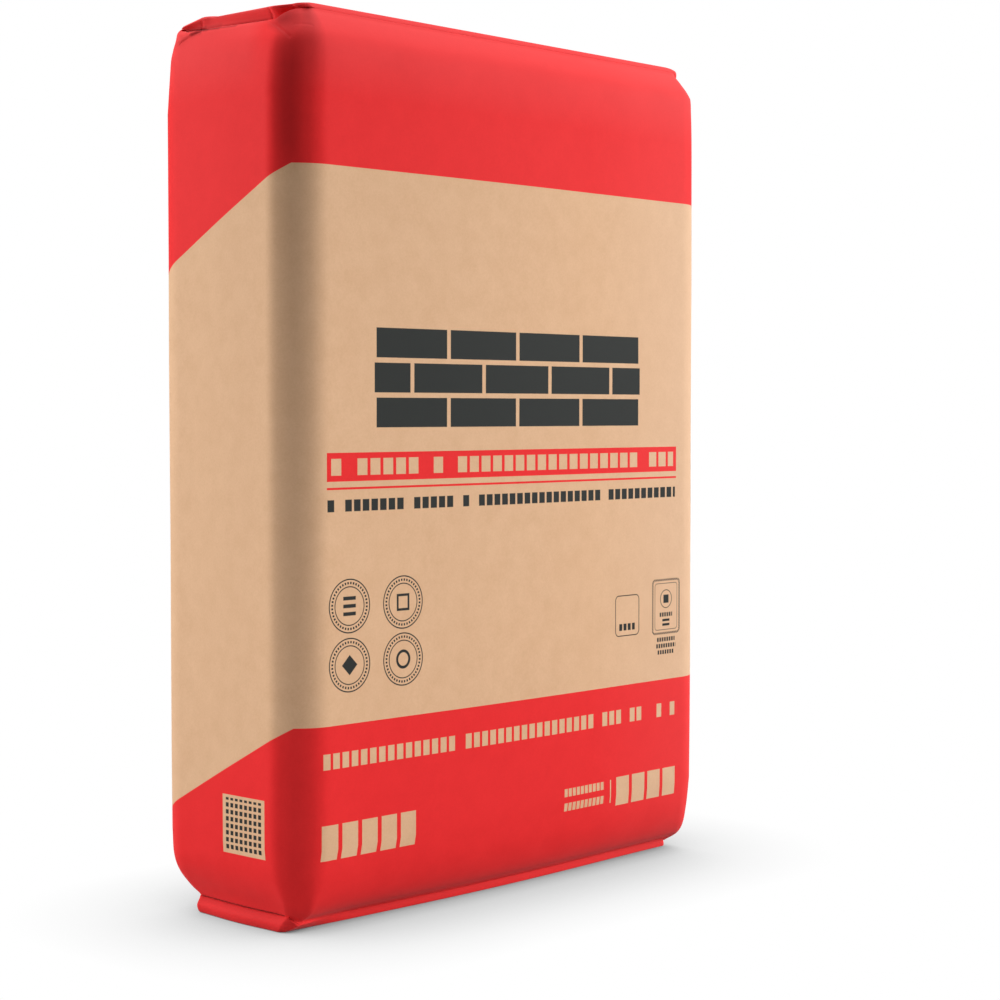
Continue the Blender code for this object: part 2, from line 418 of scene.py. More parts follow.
def inPocket(point, shape):
    # Rows beside the top crease become the pocket's two walls
    offset = shape["place"] - creaseLine
    if abs(offset) > creaseReach:
        return point
    pocket = valvePocket
    along = smooth(*pocket["start"], point.y) * (1 - smooth(*pocket["end"], point.y))
    wall = smooth(*pocket["wallLines"], abs(offset))
    opened = smooth(*pocket["gapPlace"], point.y)
    opened *= 1 - pocket["shutShare"] * smooth(*pocket["gapShuts"], point.y)
    gap = blendOf(pocket["frontGap"], pocket["backGap"], opened)
    half = blendOf(pocket["innerHalf"], gap / 2, smooth(*pocket["wallLines"][::-1], abs(offset)))
    height = pocket["height"] + pocket["rise"] * smooth(*pocket["risePlace"], point.y)
    height += (half if offset < 0 else -half) * min(1.0, abs(offset) * pocket["innerTurn"])
    mouth = point.x if abs(offset) > pocket["mouthLines"] else pocket["lip"]
    return Vector((blendOf(point.x, mouth + pocket["depth"] * wall, along), point.y,
                   blendOf(point.z, height, along)))


def inEar(point, shape):
    ear = valveEar
    along = min(max((point.y - ear["start"]) / ear["run"], 0.0), 1.0)
    across = min(max((ear["width"] - point.x + ear["end"]) / ear["width"], 0.0), 1.0)
    crush = along * across
    above = max(0.0, point.z - valvePocket["height"] - valvePocket["rise"])
    drawn = ear["rimOut"] * smooth(*ear["rimLines"], shape["place"])
    drawn *= smooth(*ear["rimX"], point.x) * smooth(*ear["rimPlace"], point.y)
    return point + Vector((-ear["out"] * crush - drawn, ear["back"] * crush,
                           -ear["crush"] * above * crush))


def inLip(point, shape):
    lip = valveLip
    share = smooth(*lip["place"], point.y) * smooth(*lip["x"], point.x)
    share *= 1 - smooth(*lip["lines"], shape["place"])
    point = point + Vector((-lip["out"], lip["back"], 0)) * share
    (y1, z1), (y2, z2) = lip["crease"]
    above = point.z - blendOf(z1, z2, (point.y - y1) / (y2 - y1))
    flap = smooth(-lip["stepWidth"], lip["stepWidth"], above) * smooth(*lip["stepX"], point.x)
    flap *= smooth(*lip["stepPlace"], point.y) * (1 - smooth(*lip["stepEnd"], point.y))
    return point + Vector((-lip["step"], 0, 0)) * flap


def foldValve(point, shape, panel):
    if panel != "back":
        point = inPocket(point, shape)
    if point.x >= 0:
        return point
    return (inEar if shape["place"] < creaseLine else inLip)(point, shape)


# Soft unevenness of a filled sack: each kind's size, its length and where its noise
# is taken from. A pair is a distance from the nearer end.
sackRelief = {
    "swell": 0.35, "swellLength": 150.0, "swellFrom": Vector((3.1, 7.7, 1.3)),
    "dent": 0.10, "dentLength": 45.0, "dentFrom": Vector((9.2, 0.4, 5.5)),
    "pucker": 0.55, "puckerLength": 22.0, "puckerFrom": Vector((1.7, 4.2, 8.8)),
    "puckerStretch": 0.35,
    "puckerReach": (18, 55.0),
    "foldsEnd": (12, 26),
}


def reliefAt(point):
    # How far the paper stands out or in, more of it near the folded ends
    relief = sackRelief
    fromEnd = min(point.z, sackTop - point.z)
    swell = noise.noise(point / relief["swellLength"] + relief["swellFrom"])
    dent = noise.noise(point / relief["dentLength"] + relief["dentFrom"])
    stretched = Vector((point.x, point.y, point.z * relief["puckerStretch"]))
    pucker = noise.noise(stretched / relief["puckerLength"] + relief["puckerFrom"])
    near = 1 - smooth(*relief["puckerReach"], fromEnd)
    return smooth(*relief["foldsEnd"], fromEnd) * (
        swell * relief["swell"] + dent * relief["dent"] + pucker * relief["pucker"] * near)


def rollSack():
    shapes = rowShapes()
    places = columnPlaces()
    columns, rows = len(places) - 1, len(shapes) - 1
    web = bmesh.new()
    bmesh.ops.create_grid(web, x_segments=columns, y_segments=rows, size=0.5)
    printMap = web.loops.layers.uv.new("printMap")
    seam = [edge for edge in web.edges
            if edge.is_boundary and abs(edge.verts[0].co.x - edge.verts[1].co.x) < 1e-6]
    seats = {}
    for vert in web.verts:
        column = round((vert.co.x + 0.5) * columns)
        row = round((vert.co.y + 0.5) * rows)
        panel, share, across = places[column]
        shape = shapes[row]
        point, up = tubePoint(shape, panel, share)
        if column > columns - sackShape["broadColumns"] // 2:
            width = sackShape["seamWidth"]
            under = smooth(width, width + sackShape["seamFade"], places[-1][2] - across)
            point.y += sackShape["seamStep"] * (1 - under)
        if shape["end"] == "top" and panel in ("back", "left", "backLeft", "frontLeft"):
            point = foldValve(point, shape, panel)
        seats[vert] = (point, (across * millimetre, up * millimetre))
    for face in web.faces:
        for loop in face.loops:
            loop[printMap].uv = seats[loop.vert][1]
    for vert, (point, flat) in seats.items():
        vert.co = point * millimetre
    web.normal_update()
    for vert, (point, flat) in seats.items():
        vert.co += vert.normal * reliefAt(point) * millimetre
    return web, printMap, seam


def closeSack(web, printMap, seam):
    # The seam's two edges are joined, and the ends closed under the cover sheets
    step = set(bmesh.ops.bridge_loops(web, edges=seam)["faces"])
    for face in step:
        for loop in face.loops:
            beside = [other for other in loop.vert.link_loops if other.face not in step][0]
            loop[printMap].uv = (abs(beside[printMap].uv.x), beside[printMap].uv.y)
    rims = [edge for edge in web.edges if edge.is_boundary]
    for end in (-1, 1):
        rim = [edge for edge in rims if (edge.verts[0].co.z > midHeight) == (end > 0)]
        for vert in {vert for edge in rim for vert in edge.verts}:
            vert.co.z -= end * sackShape["rimDrop"] * millimetre
        cap = bmesh.ops.contextual_create(web, geom=rim)["faces"]
        for face in cap:
            for loop in face.loops:
                loop[printMap].uv = (loop.vert.co.x, loop.vert.co.y + end * sackShape["capShift"])
    bmesh.ops.recalc_face_normals(web, faces=web.faces)


def addObject(name, data):
    added = bpy.data.objects.new(name, data)
    bpy.context.scene.collection.objects.link(added)
    return added


def finishPiece(mesh, name, material):
    data = bpy.data.meshes.new(name)
    mesh.to_mesh(data)
    mesh.free()
    data.materials.append(material)
    for polygon in data.polygons:
        polygon.use_smooth = len(polygon.vertices) == 4
    return addObject(name, data)


class Wire:
    # A shader socket: an operator on it adds a Math node
    def __init__(self, nodes, socket):
        self.nodes = nodes
        self.socket = socket

    def math(self, operation, first, *others):
        values = dict(enumerate((first,) + others))
        return self.nodes.add("ShaderNodeMath", {"operation": operation}, values)

    def __add__(self, other):
        return self.math("ADD", self, other)

    def __radd__(self, other):
        return self.math("ADD", other, self)

    def __sub__(self, other):
        return self.math("SUBTRACT", self, other)

    def __rsub__(self, other):
        return self.math("SUBTRACT", other, self)

    def __mul__(self, other):
        return self.math("MULTIPLY", self, other)

    def __rmul__(self, other):
        return self.math("MULTIPLY", other, self)

    def __truediv__(self, other):
        return self.math("DIVIDE", self, other)

    def __rtruediv__(self, other):
        return self.math("DIVIDE", other, self)

    def __mod__(self, other):
        return self.math("FLOORED_MODULO", self, other)

    def __rmod__(self, other):
        return self.math("FLOORED_MODULO", other, self)

    def __abs__(self):
        return self.math("ABSOLUTE", self)

    def least(self, other):
        return self.math("MINIMUM", self, other)

    def most(self, other):
        return self.math("MAXIMUM", self, other)

    def floor(self):
        return self.math("FLOOR", self)

    def root(self):
        return self.math("SQRT", self)

    def ramp(self, zeroAt, oneAt):
        # 0 to 1 as the value goes from zeroAt to oneAt
        values = {"Value": self, "From Min": zeroAt, "From Max": oneAt}
        return self.nodes.add("ShaderNodeMapRange", {"clamp": True}, values)


# The dull shine of uncoated paper, with a little fuzz
paperShine = {
    "Specular IOR Level": 0.03,
    "Sheen Weight": 0.07,
    "Sheen Roughness": 0.4,
    "Sheen Tint": (1.0, 0.82, 0.82, 1.0),
}


class Nodes:
    # The node tree of one material
    def __init__(self, name, roughness):
        self.material = bpy.data.materials.new(name)
        self.material.use_nodes = True
        self.tree = self.material.node_tree
        self.shader = self.tree.nodes["Principled BSDF"]
        for socket, value in dict(paperShine, Roughness=roughness).items():
            self.give(socket, value)

    def feed(self, socket, value):
        if isinstance(value, Wire):
            self.tree.links.new(value.socket, socket)
        else:
            socket.default_value = value

    def give(self, socket, value):
        self.feed(self.shader.inputs[socket], value)

    def add(self, kind, settings=None, values=None, output=0):
        node = self.tree.nodes.new(kind)
        for name, value in (settings or {}).items():
            if name == "stops":
                self.setStops(node.color_ramp.elements, value)
            else:
                setattr(node, name, value)
        for name, value in (values or {}).items():
            self.feed(node.inputs[name], value)
        return Wire(self, node.outputs[output])

    def setStops(self, elements, stops):
        while len(elements) < len(stops):
            elements.new(1.0)
        for element, (position, grey) in zip(elements, stops):
            element.position = position
            element.color = (grey, grey, grey, 1.0)

    def mixColour(self, share, first, last):
        values = {0: share, 6: first, 7: last}
        return self.add("ShaderNodeMix", {"data_type": "RGBA"}, values, output=2)

    def noise(self, where, scale, detail, roughness):
        values = {"Vector": where, "Scale": scale, "Detail": detail, "Roughness": roughness}
        return self.add("ShaderNodeTexNoise", None, values)

    def split(self, vector):
        parts = self.add("ShaderNodeSeparateXYZ", None, {0: vector})
        return [Wire(self, socket) for socket in parts.socket.node.outputs]


def boxAround(x, z, middle, halfWidth, halfHeight):
    # Distance in millimetres to a rectangle of the print, less than 0 inside it
    return (abs(x - middle[0]) - halfWidth).most(abs(z - middle[1]) - halfHeight)


def boxShape(x, z, left, right, low, high):
    middle = ((left + right) / 2, (low + high) / 2)
    return boxAround(x, z, middle, (right - left) / 2, (high - low) / 2)


def lengthOf(across, up):
    return (across * across + up * up).root()


def roundedBox(x, z, left, right, low, high, radius):
    across = (abs(x - (left + right) / 2) - ((right - left) / 2 - radius)).most(0)
    up = (abs(z - (low + high) / 2) - ((high - low) / 2 - radius)).most(0)
    return lengthOf(across, up) - radius


def discShape(x, z, middle, radius):
    return lengthOf(x - middle[0], z - middle[1]) - radius


def outline(shape, width):
    return abs(shape) - width / 2


inkEdge = 0.12                      # half the width over which an inked edge fades out


def inkOf(shape):
    return shape.ramp(inkEdge, -inkEdge)


def blockRow(x, z, left, right, low, high, pitch, gap):
    # A row of plain upright blocks
    box = boxShape(x, z, left, right, low, high)
    cell = abs((x - left) % pitch - (pitch - gap) / 2) - (pitch - gap) / 2
    return box.most(cell)


rowGaps = {
    "share": 0.13,              # of the blocks
    "away": 50,                 # the distance that hides a block
}


def brokenRow(nodes, x, z, left, right, low, high, pitch, gap, seed):
    # The same with some blocks missing
    blocks = blockRow(x, z, left, right, low, high, pitch, gap)
    count = ((x - left) / pitch).floor()
    chance = nodes.add("ShaderNodeTexWhiteNoise", {"noise_dimensions": "1D"}, {"W": count + seed})
    missing = chance.math("LESS_THAN", chance, rowGaps["share"])
    return blocks + missing * rowGaps["away"]


# The print, in millimetres, x from the front panel's middle across the flat paper and
# z from the floor. Four numbers are left, right, low and high. A row of blocks is its
# pitch and gap, with a seed where some blocks are missing.
printPlaces = {
    "lowerBand": 113.8,
    "upperBand": 412.6,
    "bandTurn": 169.4,          # where the bands start to fall
    "bandFallRun": 109.2,
    "bandSlope": 0.52,
    "bricks": (-116, 106.5, 272, 329),
    "brickCourses": 3,
    "bricksAcross": 4,
    "brickJoint": 1.4,          # half of one
    "redStrip": (-150.3, 143, 244.6, 260),
    "strip": (-147.3, 140, 247.8, 256.8),
    "stripBlocks": (9.4, 2.2, 11.0),
    "rule": (-150.4, 143, 240.2, 241.4),
    "line": (-150, 142, 228.4, 234.8),
    "lineBlocks": (6.3, 1.5, 3.0),
    "footLine": (-153, 144, 90.5, 99),
    "footLineBlocks": (6.6, 1.9, 23.0),
    "footLeft": (-154, -85.5, 41.4, 60.5),
    "footLeftBlocks": (14.2, 2.9),
    "footRight": (85, 143, 40, 57.6),
    "footRightBlocks": (15.2, 2.9),
    "footRule": (79.0, 80.0, 42.5, 56.7),
    "footSmall": [(36.7, 73.7, 51.6, 56.4), (36.7, 73.7, 43, 47.8)],
    "footSmallBlocks": (3.7, 0.9),
}
inks = {
    "kraft": (0.782, 0.498, 0.304, 1.0),
    "kraftDark": (0.712, 0.438, 0.258, 1.0),
    # a paler kraft, for painted sheen
    "kraftPaintedSheen": (0.81, 0.61, 0.475, 1.0),
    "red": (0.875, 0.031, 0.033, 1.0),
    "redDark": (0.82, 0.027, 0.029, 1.0),
    # a paler red, for painted sheen
    "redPaintedSheen": (0.885, 0.105, 0.107, 1.0),
    # a near-black red, for painted shade
    "redShaded": (0.13, 0.004, 0.005, 1.0),
    "black": (0.025, 0.031, 0.031, 1.0),
}


def brickWall(x, z):
    place = printPlaces
    left, right, low, high = place["bricks"]
    joint = place["brickJoint"]
    course = (high - low) / place["brickCourses"]
    brick = (right - left) / place["bricksAcross"]
    row = ((z - low) / course).floor()
    alongX = (x - left + (row % 2) * (brick / 2)) % brick
    alongZ = (z - low) % course
    bricks = (abs(alongX - brick / 2) - (brick / 2 - joint)).most(
        abs(alongZ - course / 2) - (course / 2 - joint))
    return boxShape(x, z, left, right, low + joint, high - joint).most(bricks)


# Four round marks: two rings with a row of ticks between them, and a plain figure
roundMarks = {
    "middles": [(-134.5, 177.5), (-95.5, 177.2), (-134.5, 145.6), (-95.5, 145.7)],
    "rings": [(14.4, 0.7), (10.4, 0.6)],    # radius and width of the line
    "tickRing": (12.4, 1.3),
    "ticks": 40,
    "tickShare": 0.55,
    "bar": (4.5, 1.0),          # half its width and height
    "barHeights": (-4.2, 0, 4.2),
    "square": (4, 1.4),         # half of it, and width of the line
    "diamond": 5.5,
    "diamondScale": 0.7,
    "ring": (4.5, 1.6),
}


def markRings(x, z, middle):
    marks = roundMarks
    disc = discShape(x, z, middle, 0.0)
    rings = [outline(disc - radius, width) for radius, width in marks["rings"]]
    angle = (x - middle[0]).math("ARCTAN2", x - middle[0], z - middle[1])
    ticks = abs(angle * (marks["ticks"] / (2 * pi)) % 1 - 0.5) * 2 - marks["tickShare"]
    radius, width = marks["tickRing"]
    return reduce(Wire.least, rings).least(outline(disc - radius, width).most(ticks))


def markFigures(x, z):
    marks = roundMarks
    bars, square, diamond, ring = marks["middles"]
    figures = [boxAround(x, z, (bars[0], bars[1] + up), *marks["bar"])
               for up in marks["barHeights"]]
    half, width = marks["square"]
    figures.append(outline(boxAround(x, z, square, half, half), width))
    slopes = abs(x - diamond[0]) + abs(z - diamond[1]) - marks["diamond"]
    figures.append(slopes * marks["diamondScale"])
    radius, width = marks["ring"]
    figures.append(outline(discShape(x, z, ring, radius), width))
    return reduce(Wire.least, figures)


# Two small upright boxes at the right edge: one with a row of blocks, and a taller one
# in a dashed frame with a ring and a square, and small blocks below it
smallBox = {
    "place": (83.7, 106.3, 144.3, 169),
    "radius": 3.0,
    "line": 0.6,
    "blocks": (87.2, 102.3, 147.5, 151.7, 4.1, 1.2),
}
tallBox = {
    "place": (120, 146.5, 143, 176.5),
    "radius": 2.5,
    "frame": 1.3,
    "dashPitch": 1.7,
    "dash": 0.55,               # half of one
    "inset": 2.2,
    "insetRadius": 2.0,
    "insetLine": 0.35,
    "middle": (133.25, 164.5),
    "ring": (5.6, 0.5),
    "square": 2.6,
    "bars": [(133.25, 148.35), (133.25, 151.15)],
    "bar": (3.6, 0.75),
    "blocks": (127, 139.5, 153.4, 156, 2.3, 0.7),
    "below": [(124.45, 142.05, 137.8, 140.4), (123.65, 142.85, 133.8, 136.4),
              (125.05, 141.45, 129.8, 132.4)],
    "belowBlocks": (2.35, 0.75),
}


def smallBoxes(x, z):
    box = smallBox
    shapes = [outline(roundedBox(x, z, *box["place"], box["radius"]), box["line"]),
              blockRow(x, z, *box["blocks"])]
    box = tallBox
    dashes = abs((x + z) % box["dashPitch"] - box["dashPitch"] / 2) - box["dash"]
    frame = outline(roundedBox(x, z, *box["place"], box["radius"]), box["frame"])
    shapes.append(frame.most(dashes))
    left, right, low, high = box["place"]
    inset = box["inset"]
    inner = (left + inset, right - inset, low + inset, high - inset)
    shapes.append(outline(roundedBox(x, z, *inner, box["insetRadius"]), box["insetLine"]))
    radius, width = box["ring"]
    shapes.append(outline(discShape(x, z, box["middle"], radius), width))
    shapes.append(boxAround(x, z, box["middle"], box["square"], box["square"]))
    shapes += [boxAround(x, z, middle, *box["bar"]) for middle in box["bars"]]
    shapes.append(blockRow(x, z, *box["blocks"]))
    shapes += [blockRow(x, z, *row, *box["belowBlocks"]) for row in box["below"]]
    return reduce(Wire.least, shapes)


def blackPrint(nodes, x, z):
    place = printPlaces
    shapes = [brickWall(x, z), brokenRow(nodes, x, z, *place["line"], *place["lineBlocks"])]
    shapes += [markRings(x, z, middle) for middle in roundMarks["middles"]]
    shapes += [markFigures(x, z), smallBoxes(x, z), gridDots(x, z)]
    return inkOf(reduce(Wire.least, shapes))


def redPrint(x, z):
    place = printPlaces
    turn = (abs(x) - place["bandTurn"]).ramp(0, place["bandFallRun"])
    fall = turn * (place["bandSlope"] * place["bandFallRun"])
    lower = z - (place["lowerBand"] - fall)
    upper = (place["upperBand"] - fall) - z
    bands = lower.least(upper)
    strip = boxShape(x, z, *place["redStrip"])
    return inkOf(bands.least(strip).least(boxShape(x, z, *place["rule"])))


# The narrow panel's plain grid of dots on bare paper
sideGrid = {
    "place": (-222, -187.5, 42, 74),
    "margin": (2, 1.6),
    "dotsAcross": 8,
    "dotGap": 0.7,              # half of one
}


def barePrint(nodes, x, z):
    # Kraft paper left bare inside the red print
    place = printPlaces
    bare = [brokenRow(nodes, x, z, *place[name], *place[name + "Blocks"])
            for name in ("strip", "footLine")]
    bare += [blockRow(x, z, *place[name], *place[name + "Blocks"])
             for name in ("footLeft", "footRight")]
    bare += [blockRow(x, z, *row, *place["footSmallBlocks"]) for row in place["footSmall"]]
    bare += [boxShape(x, z, *place["footRule"]), boxShape(x, z, *sideGrid["place"])]
    return inkOf(reduce(Wire.least, bare))


def gridDots(x, z):
    left, right, low, high = sideGrid["place"]
    marginX, marginZ = sideGrid["margin"]
    pitch = (right - left - 2 * marginX) / sideGrid["dotsAcross"]
    half = pitch / 2 - sideGrid["dotGap"]
    cellX = abs((x - left - marginX) % pitch - pitch / 2) - half
    cellZ = abs((z - low - marginZ) % pitch - pitch / 2) - half
    inside = boxShape(x, z, left + marginX, right - marginX, low + marginZ, high - marginZ)
    return inside.most(cellX.most(cellZ))


# Clouds, faint specks and fibres of kraft paper: scale and detail of each kind's noise,
# the noise's part that becomes colour, and the shares of it in the colour and the bump
paperGrain = {
    "cloud": {"noise": (90.0, 4.0), "part": (0.3, 0.7), "tone": 0.6, "bump": 0.6},
    "speck": {"noise": (900.0, 2.0), "part": (0.35, 0.65), "tone": 0.4, "bump": 0.25},
    "fibre": {"noise": (2600.0, 2.0), "bump": 0.15},
}
grainRoughness = 0.6


def paperTone(nodes):
    # How far the colour goes from the darker paper to the paler, and the bump's height
    where = nodes.add("ShaderNodeTexCoord", output=3)
    tones, heights = [], []
    for facts in paperGrain.values():
        grain = nodes.noise(where, *facts["noise"], grainRoughness)
        heights.append(grain * facts["bump"])
        if "tone" in facts:
            tones.append(grain.ramp(*facts["part"]) * facts["tone"])
    return reduce(Wire.__add__, tones), reduce(Wire.__add__, heights)


# Fine creases that the folding left in the printed paper, as runs of points of the
# print, how deep each is and how wide
fineCreases = [
    ([(-195.5, 505.4), (-195.3, 501.7), (-195.7, 497.5), (-188.9, 491.7), (-179, 487),
      (-171.7, 479.3)], 0.34, 1.5),
    ([(-168.0, 487.3), (-163.0, 487.6), (-157.5, 486.9)], 0.10, 1.4),
    ([(-243.3, 490.9), (-254.4, 487.9), (-262, 485.1)], 0.35, 0.9),
    ([(-246.5, 503.0), (-249.5, 498.5), (-254.5, 494.5)], 0.25, 1.2),
]


def lineNear(x, z, start, end, width, share):
    # The share on a line between two points of the print, less beside it
    runX, runZ = end[0] - start[0], end[1] - start[1]
    fromX, fromZ = x - start[0], z - start[1]
    along = (fromX * runX + fromZ * runZ).ramp(0, runX * runX + runZ * runZ)
    off = lengthOf(fromX - along * runX, fromZ - along * runZ)
    return off.ramp(width, 0) * share


def creaseDepth(x, z):
    valleys = [lineNear(x, z, start, end, width, depth)
               for points, depth, width in fineCreases
               for start, end in zip(points, points[1:])]
    return reduce(Wire.most, valleys)


def giveRelief(nodes, height, strength, distance):
    values = {"Height": height, "Strength": strength, "Distance": distance}
    nodes.give("Normal", nodes.add("ShaderNodeBump", None, values))


# Painted sheen: the paper's colour is made paler along the shoulders, the foot and the right edge,
# and less so at the near edge, standing in for the lights' sheen there. A pair is where the painted
# sheen starts and where it is whole.
sheenPaint = {
    "shoulder": {"z": (450, 494), "share": 0.50},
    "nearEdge": {"middle": -178, "reach": (24, 10), "share": 0.7},
    "foot": {"z": (14, 2), "share": 0.12},
    "rightEdge": {"x": (60, 168), "back": (300, 190), "share": 0.20},
}


def paintedSheenShare(x, z):
    # The share of painted sheen, which makes the colour paler
    near, right = sheenPaint["nearEdge"], sheenPaint["rightEdge"]
    shoulder = z.ramp(*sheenPaint["shoulder"]["z"]) * sheenPaint["shoulder"]["share"]
    shoulder = shoulder * (1 - abs(x - near["middle"]).ramp(*near["reach"]) * near["share"])
    foot = z.ramp(*sheenPaint["foot"]["z"]) * sheenPaint["foot"]["share"]
    edge = x.ramp(*right["x"]) * x.ramp(*right["back"]) * right["share"]
    return shoulder.most(foot) + edge


# Painted shade: the red is darkened where shade falls, in the left panel's two creases, in the
# valve's mouth, at the near top corner and down the near edge's upper end. A crease has a soft
# share that spreads below it and a line in it. The valve has lines, each with its width and share.
creaseShade = {
    "foot": {"from": -268.0, "to": -184.0, "spread": 4.2, "soft": 0.28, "line": 0.50, "width": 1.3},
    "lip": {"from": -240.0, "to": -194.0, "spread": 1.2, "soft": 0.06, "line": 0.47, "width": 2.3},
}
shadeFade = {
    "below": -0.8,
    "above": 0.3,
    "lineWhole": 0.3,           # of the line's width
    "ends": 8,
}
valveShade = [
    ((-264, 500.0), (-246, 499.1), 1.8, 0.50), ((-247, 499.1), (-234, 498.8), 1.8, 0.32),
    ((-256, 493.3), (-247, 492.8), 2.0, 0.60), ((-248, 492.9), (-239, 492.5), 2.6, 1.05),
    ((-240, 492.4), (-229, 491.9), 2.1, 0.75), ((-230, 491.9), (-215, 491.5), 1.7, 0.45),
    ((-244.5, 490.8), (-251, 490.0), 2.3, 0.60),
]
cornerShade = {"middle": (-175.5, 493.5), "reach": (13.0, 3), "share": 0.53}
edgeShade = {
    "middle": -171.5,
    "reach": (9.0, 2),
    "low": (402.0, 424.0),
    "high": (482.0, 464.0),
    "share": 0.25,
}


def creaseShadeShare(x, z, height, facts):
    # Painted shade in a crease's line and spreading below it
    fade = shadeFade
    soft = z.ramp(height - facts["spread"], height + fade["below"])
    soft = soft * z.ramp(height + fade["above"], height - fade["above"])
    line = abs(z - height).ramp(facts["width"], facts["width"] * fade["lineWhole"])
    middle, half = (facts["from"] + facts["to"]) / 2, (facts["to"] - facts["from"]) / 2
    within = abs(x - middle).ramp(half, half - fade["ends"])
    return (soft * facts["soft"]).most(line * facts["line"]) * within


def paintedShadeShare(x, z):
    # How far painted shade darkens the red
    shapes = rowShapes()
    lineRow = creaseLine * sackShape["endRows"]
    heights = {"foot": shapes[lineRow]["leftFlat"], "lip": shapes[-1 - lineRow]["leftFlat"]}
    shares = [creaseShadeShare(x, z, height, creaseShade[name]) for name, height in heights.items()]
    shares += [lineNear(x, z, *facts) for facts in valveShade]
    corner = discShape(x, z, cornerShade["middle"], 0.0).ramp(*cornerShade["reach"])
    beside = abs(x - edgeShade["middle"]).ramp(*edgeShade["reach"])
    edge = beside * z.ramp(*edgeShade["low"]) * z.ramp(*edgeShade["high"])
    shares += [corner * cornerShade["share"], edge * edgeShade["share"]]
    return reduce(Wire.most, shares)


# How rough the paper is and how much smoother each ink makes it, how well the black
# covers, the grain's share of the relief, and the relief's strength and its height
printFinish = {
    "paper": 0.60,
    "redLess": 0.05,
    "blackLess": 0.06,
    "blackCover": 0.99,
    "grainDepth": 0.14,
    "bump": (1.0, 0.001),
}


def printedPaper():
    nodes = Nodes("printed kraft paper", printFinish["paper"])
    where = nodes.add("ShaderNodeUVMap", {"uv_map": "printMap"})
    x, z = (part / millimetre for part in nodes.split(where)[:2])
    tone, grain = paperTone(nodes)
    # Painted sheen makes the kraft and the red paler
    paintedSheen = paintedSheenShare(x, z)
    kraft = nodes.mixColour(tone, inks["kraftDark"], inks["kraft"])
    kraft = nodes.mixColour(paintedSheen, kraft, inks["kraftPaintedSheen"])
    red = nodes.mixColour(tone, inks["redDark"], inks["red"])
    red = nodes.mixColour(paintedSheen, red, inks["redPaintedSheen"])
    # Painted shade darkens the red in the creases, the valve's mouth and at the near corner
    red = nodes.mixColour(paintedShadeShare(x, z), red, inks["redShaded"])
    redShare = redPrint(x, z) * (1 - barePrint(nodes, x, z))
    colour = nodes.mixColour(redShare, kraft, red)
    black = blackPrint(nodes, x, z)
    colour = nodes.mixColour(black * printFinish["blackCover"], colour, inks["black"])
    nodes.give("Base Color", colour)
    smoother = redShare * printFinish["redLess"] + black * printFinish["blackLess"]
    nodes.give("Roughness", printFinish["paper"] - smoother)
    relief = grain * printFinish["grainDepth"] - creaseDepth(x, z)
    giveRelief(nodes, relief, *printFinish["bump"])
    return nodes.material


plainBump = (0.35, 0.0004)          # strength, and height in metres


def plainPaper(name, roughness):
    nodes = Nodes(name, roughness)
    tone, grain = paperTone(nodes)
    colour = nodes.mixColour(tone, inks["kraftDark"], inks["kraft"])
    nodes.give("Base Color", colour)
    giveRelief(nodes, grain, *plainBump)
    return nodes.material


# Cover sheets, pasted over the folded ends inside the block's rim
coverSheets = {
    "thickness": 0.25,
    "cockle": 0.06,
    "cockleScale": 45,          # cockles to a metre
    "cornerCut": 5.0,
    "columns": 150,
    "rows": 40,
}


def coverSheet(name, node, material):
    low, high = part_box(node)
    sheet = bmesh.new()
    bmesh.ops.create_grid(sheet, x_segments=coverSheets["columns"],
                          y_segments=coverSheets["rows"], size=0.5)
    size = high - low
    bmesh.ops.scale(sheet, vec=(size.x, size.y, 1), verts=sheet.verts)
    for across in (-1, 1):
        for along in (-1, 1):
            outward = Vector((across, along, 0))
            corner = Vector((across * size.x / 2, along * size.y / 2, 0))
            corner -= outward * coverSheets["cornerCut"] / 2 * millimetre
            bmesh.ops.bisect_plane(sheet, geom=sheet.verts[:] + sheet.edges[:] + sheet.faces[:],
                                   plane_co=corner, plane_no=outward, clear_outer=True)
    facing = 1 if high.z > midHeight else -1
    outer = high.z if facing > 0 else low.z
    thick = coverSheets["thickness"] * millimetre
    for vert in sheet.verts:
        cockle = noise.noise(vert.co * coverSheets["cockleScale"]) * coverSheets["cockle"]
        vert.co.z = outer - facing * (thick + abs(cockle * millimetre))
    if facing < 0:
        bmesh.ops.reverse_faces(sheet, faces=sheet.faces)
    piece = finishPiece(sheet, name, material)
    solid = piece.modifiers.new("paper", "SOLIDIFY")
    solid.thickness = thick
    solid.offset = 1.0
    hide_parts(node)
    return piece


# The valve's sleeve is a flattened paper tube lying in the pocket
sleeveShape = {"behindLip": 1.2, "behindStart": 0.5, "cuts": 12, "bevel": 0.2}


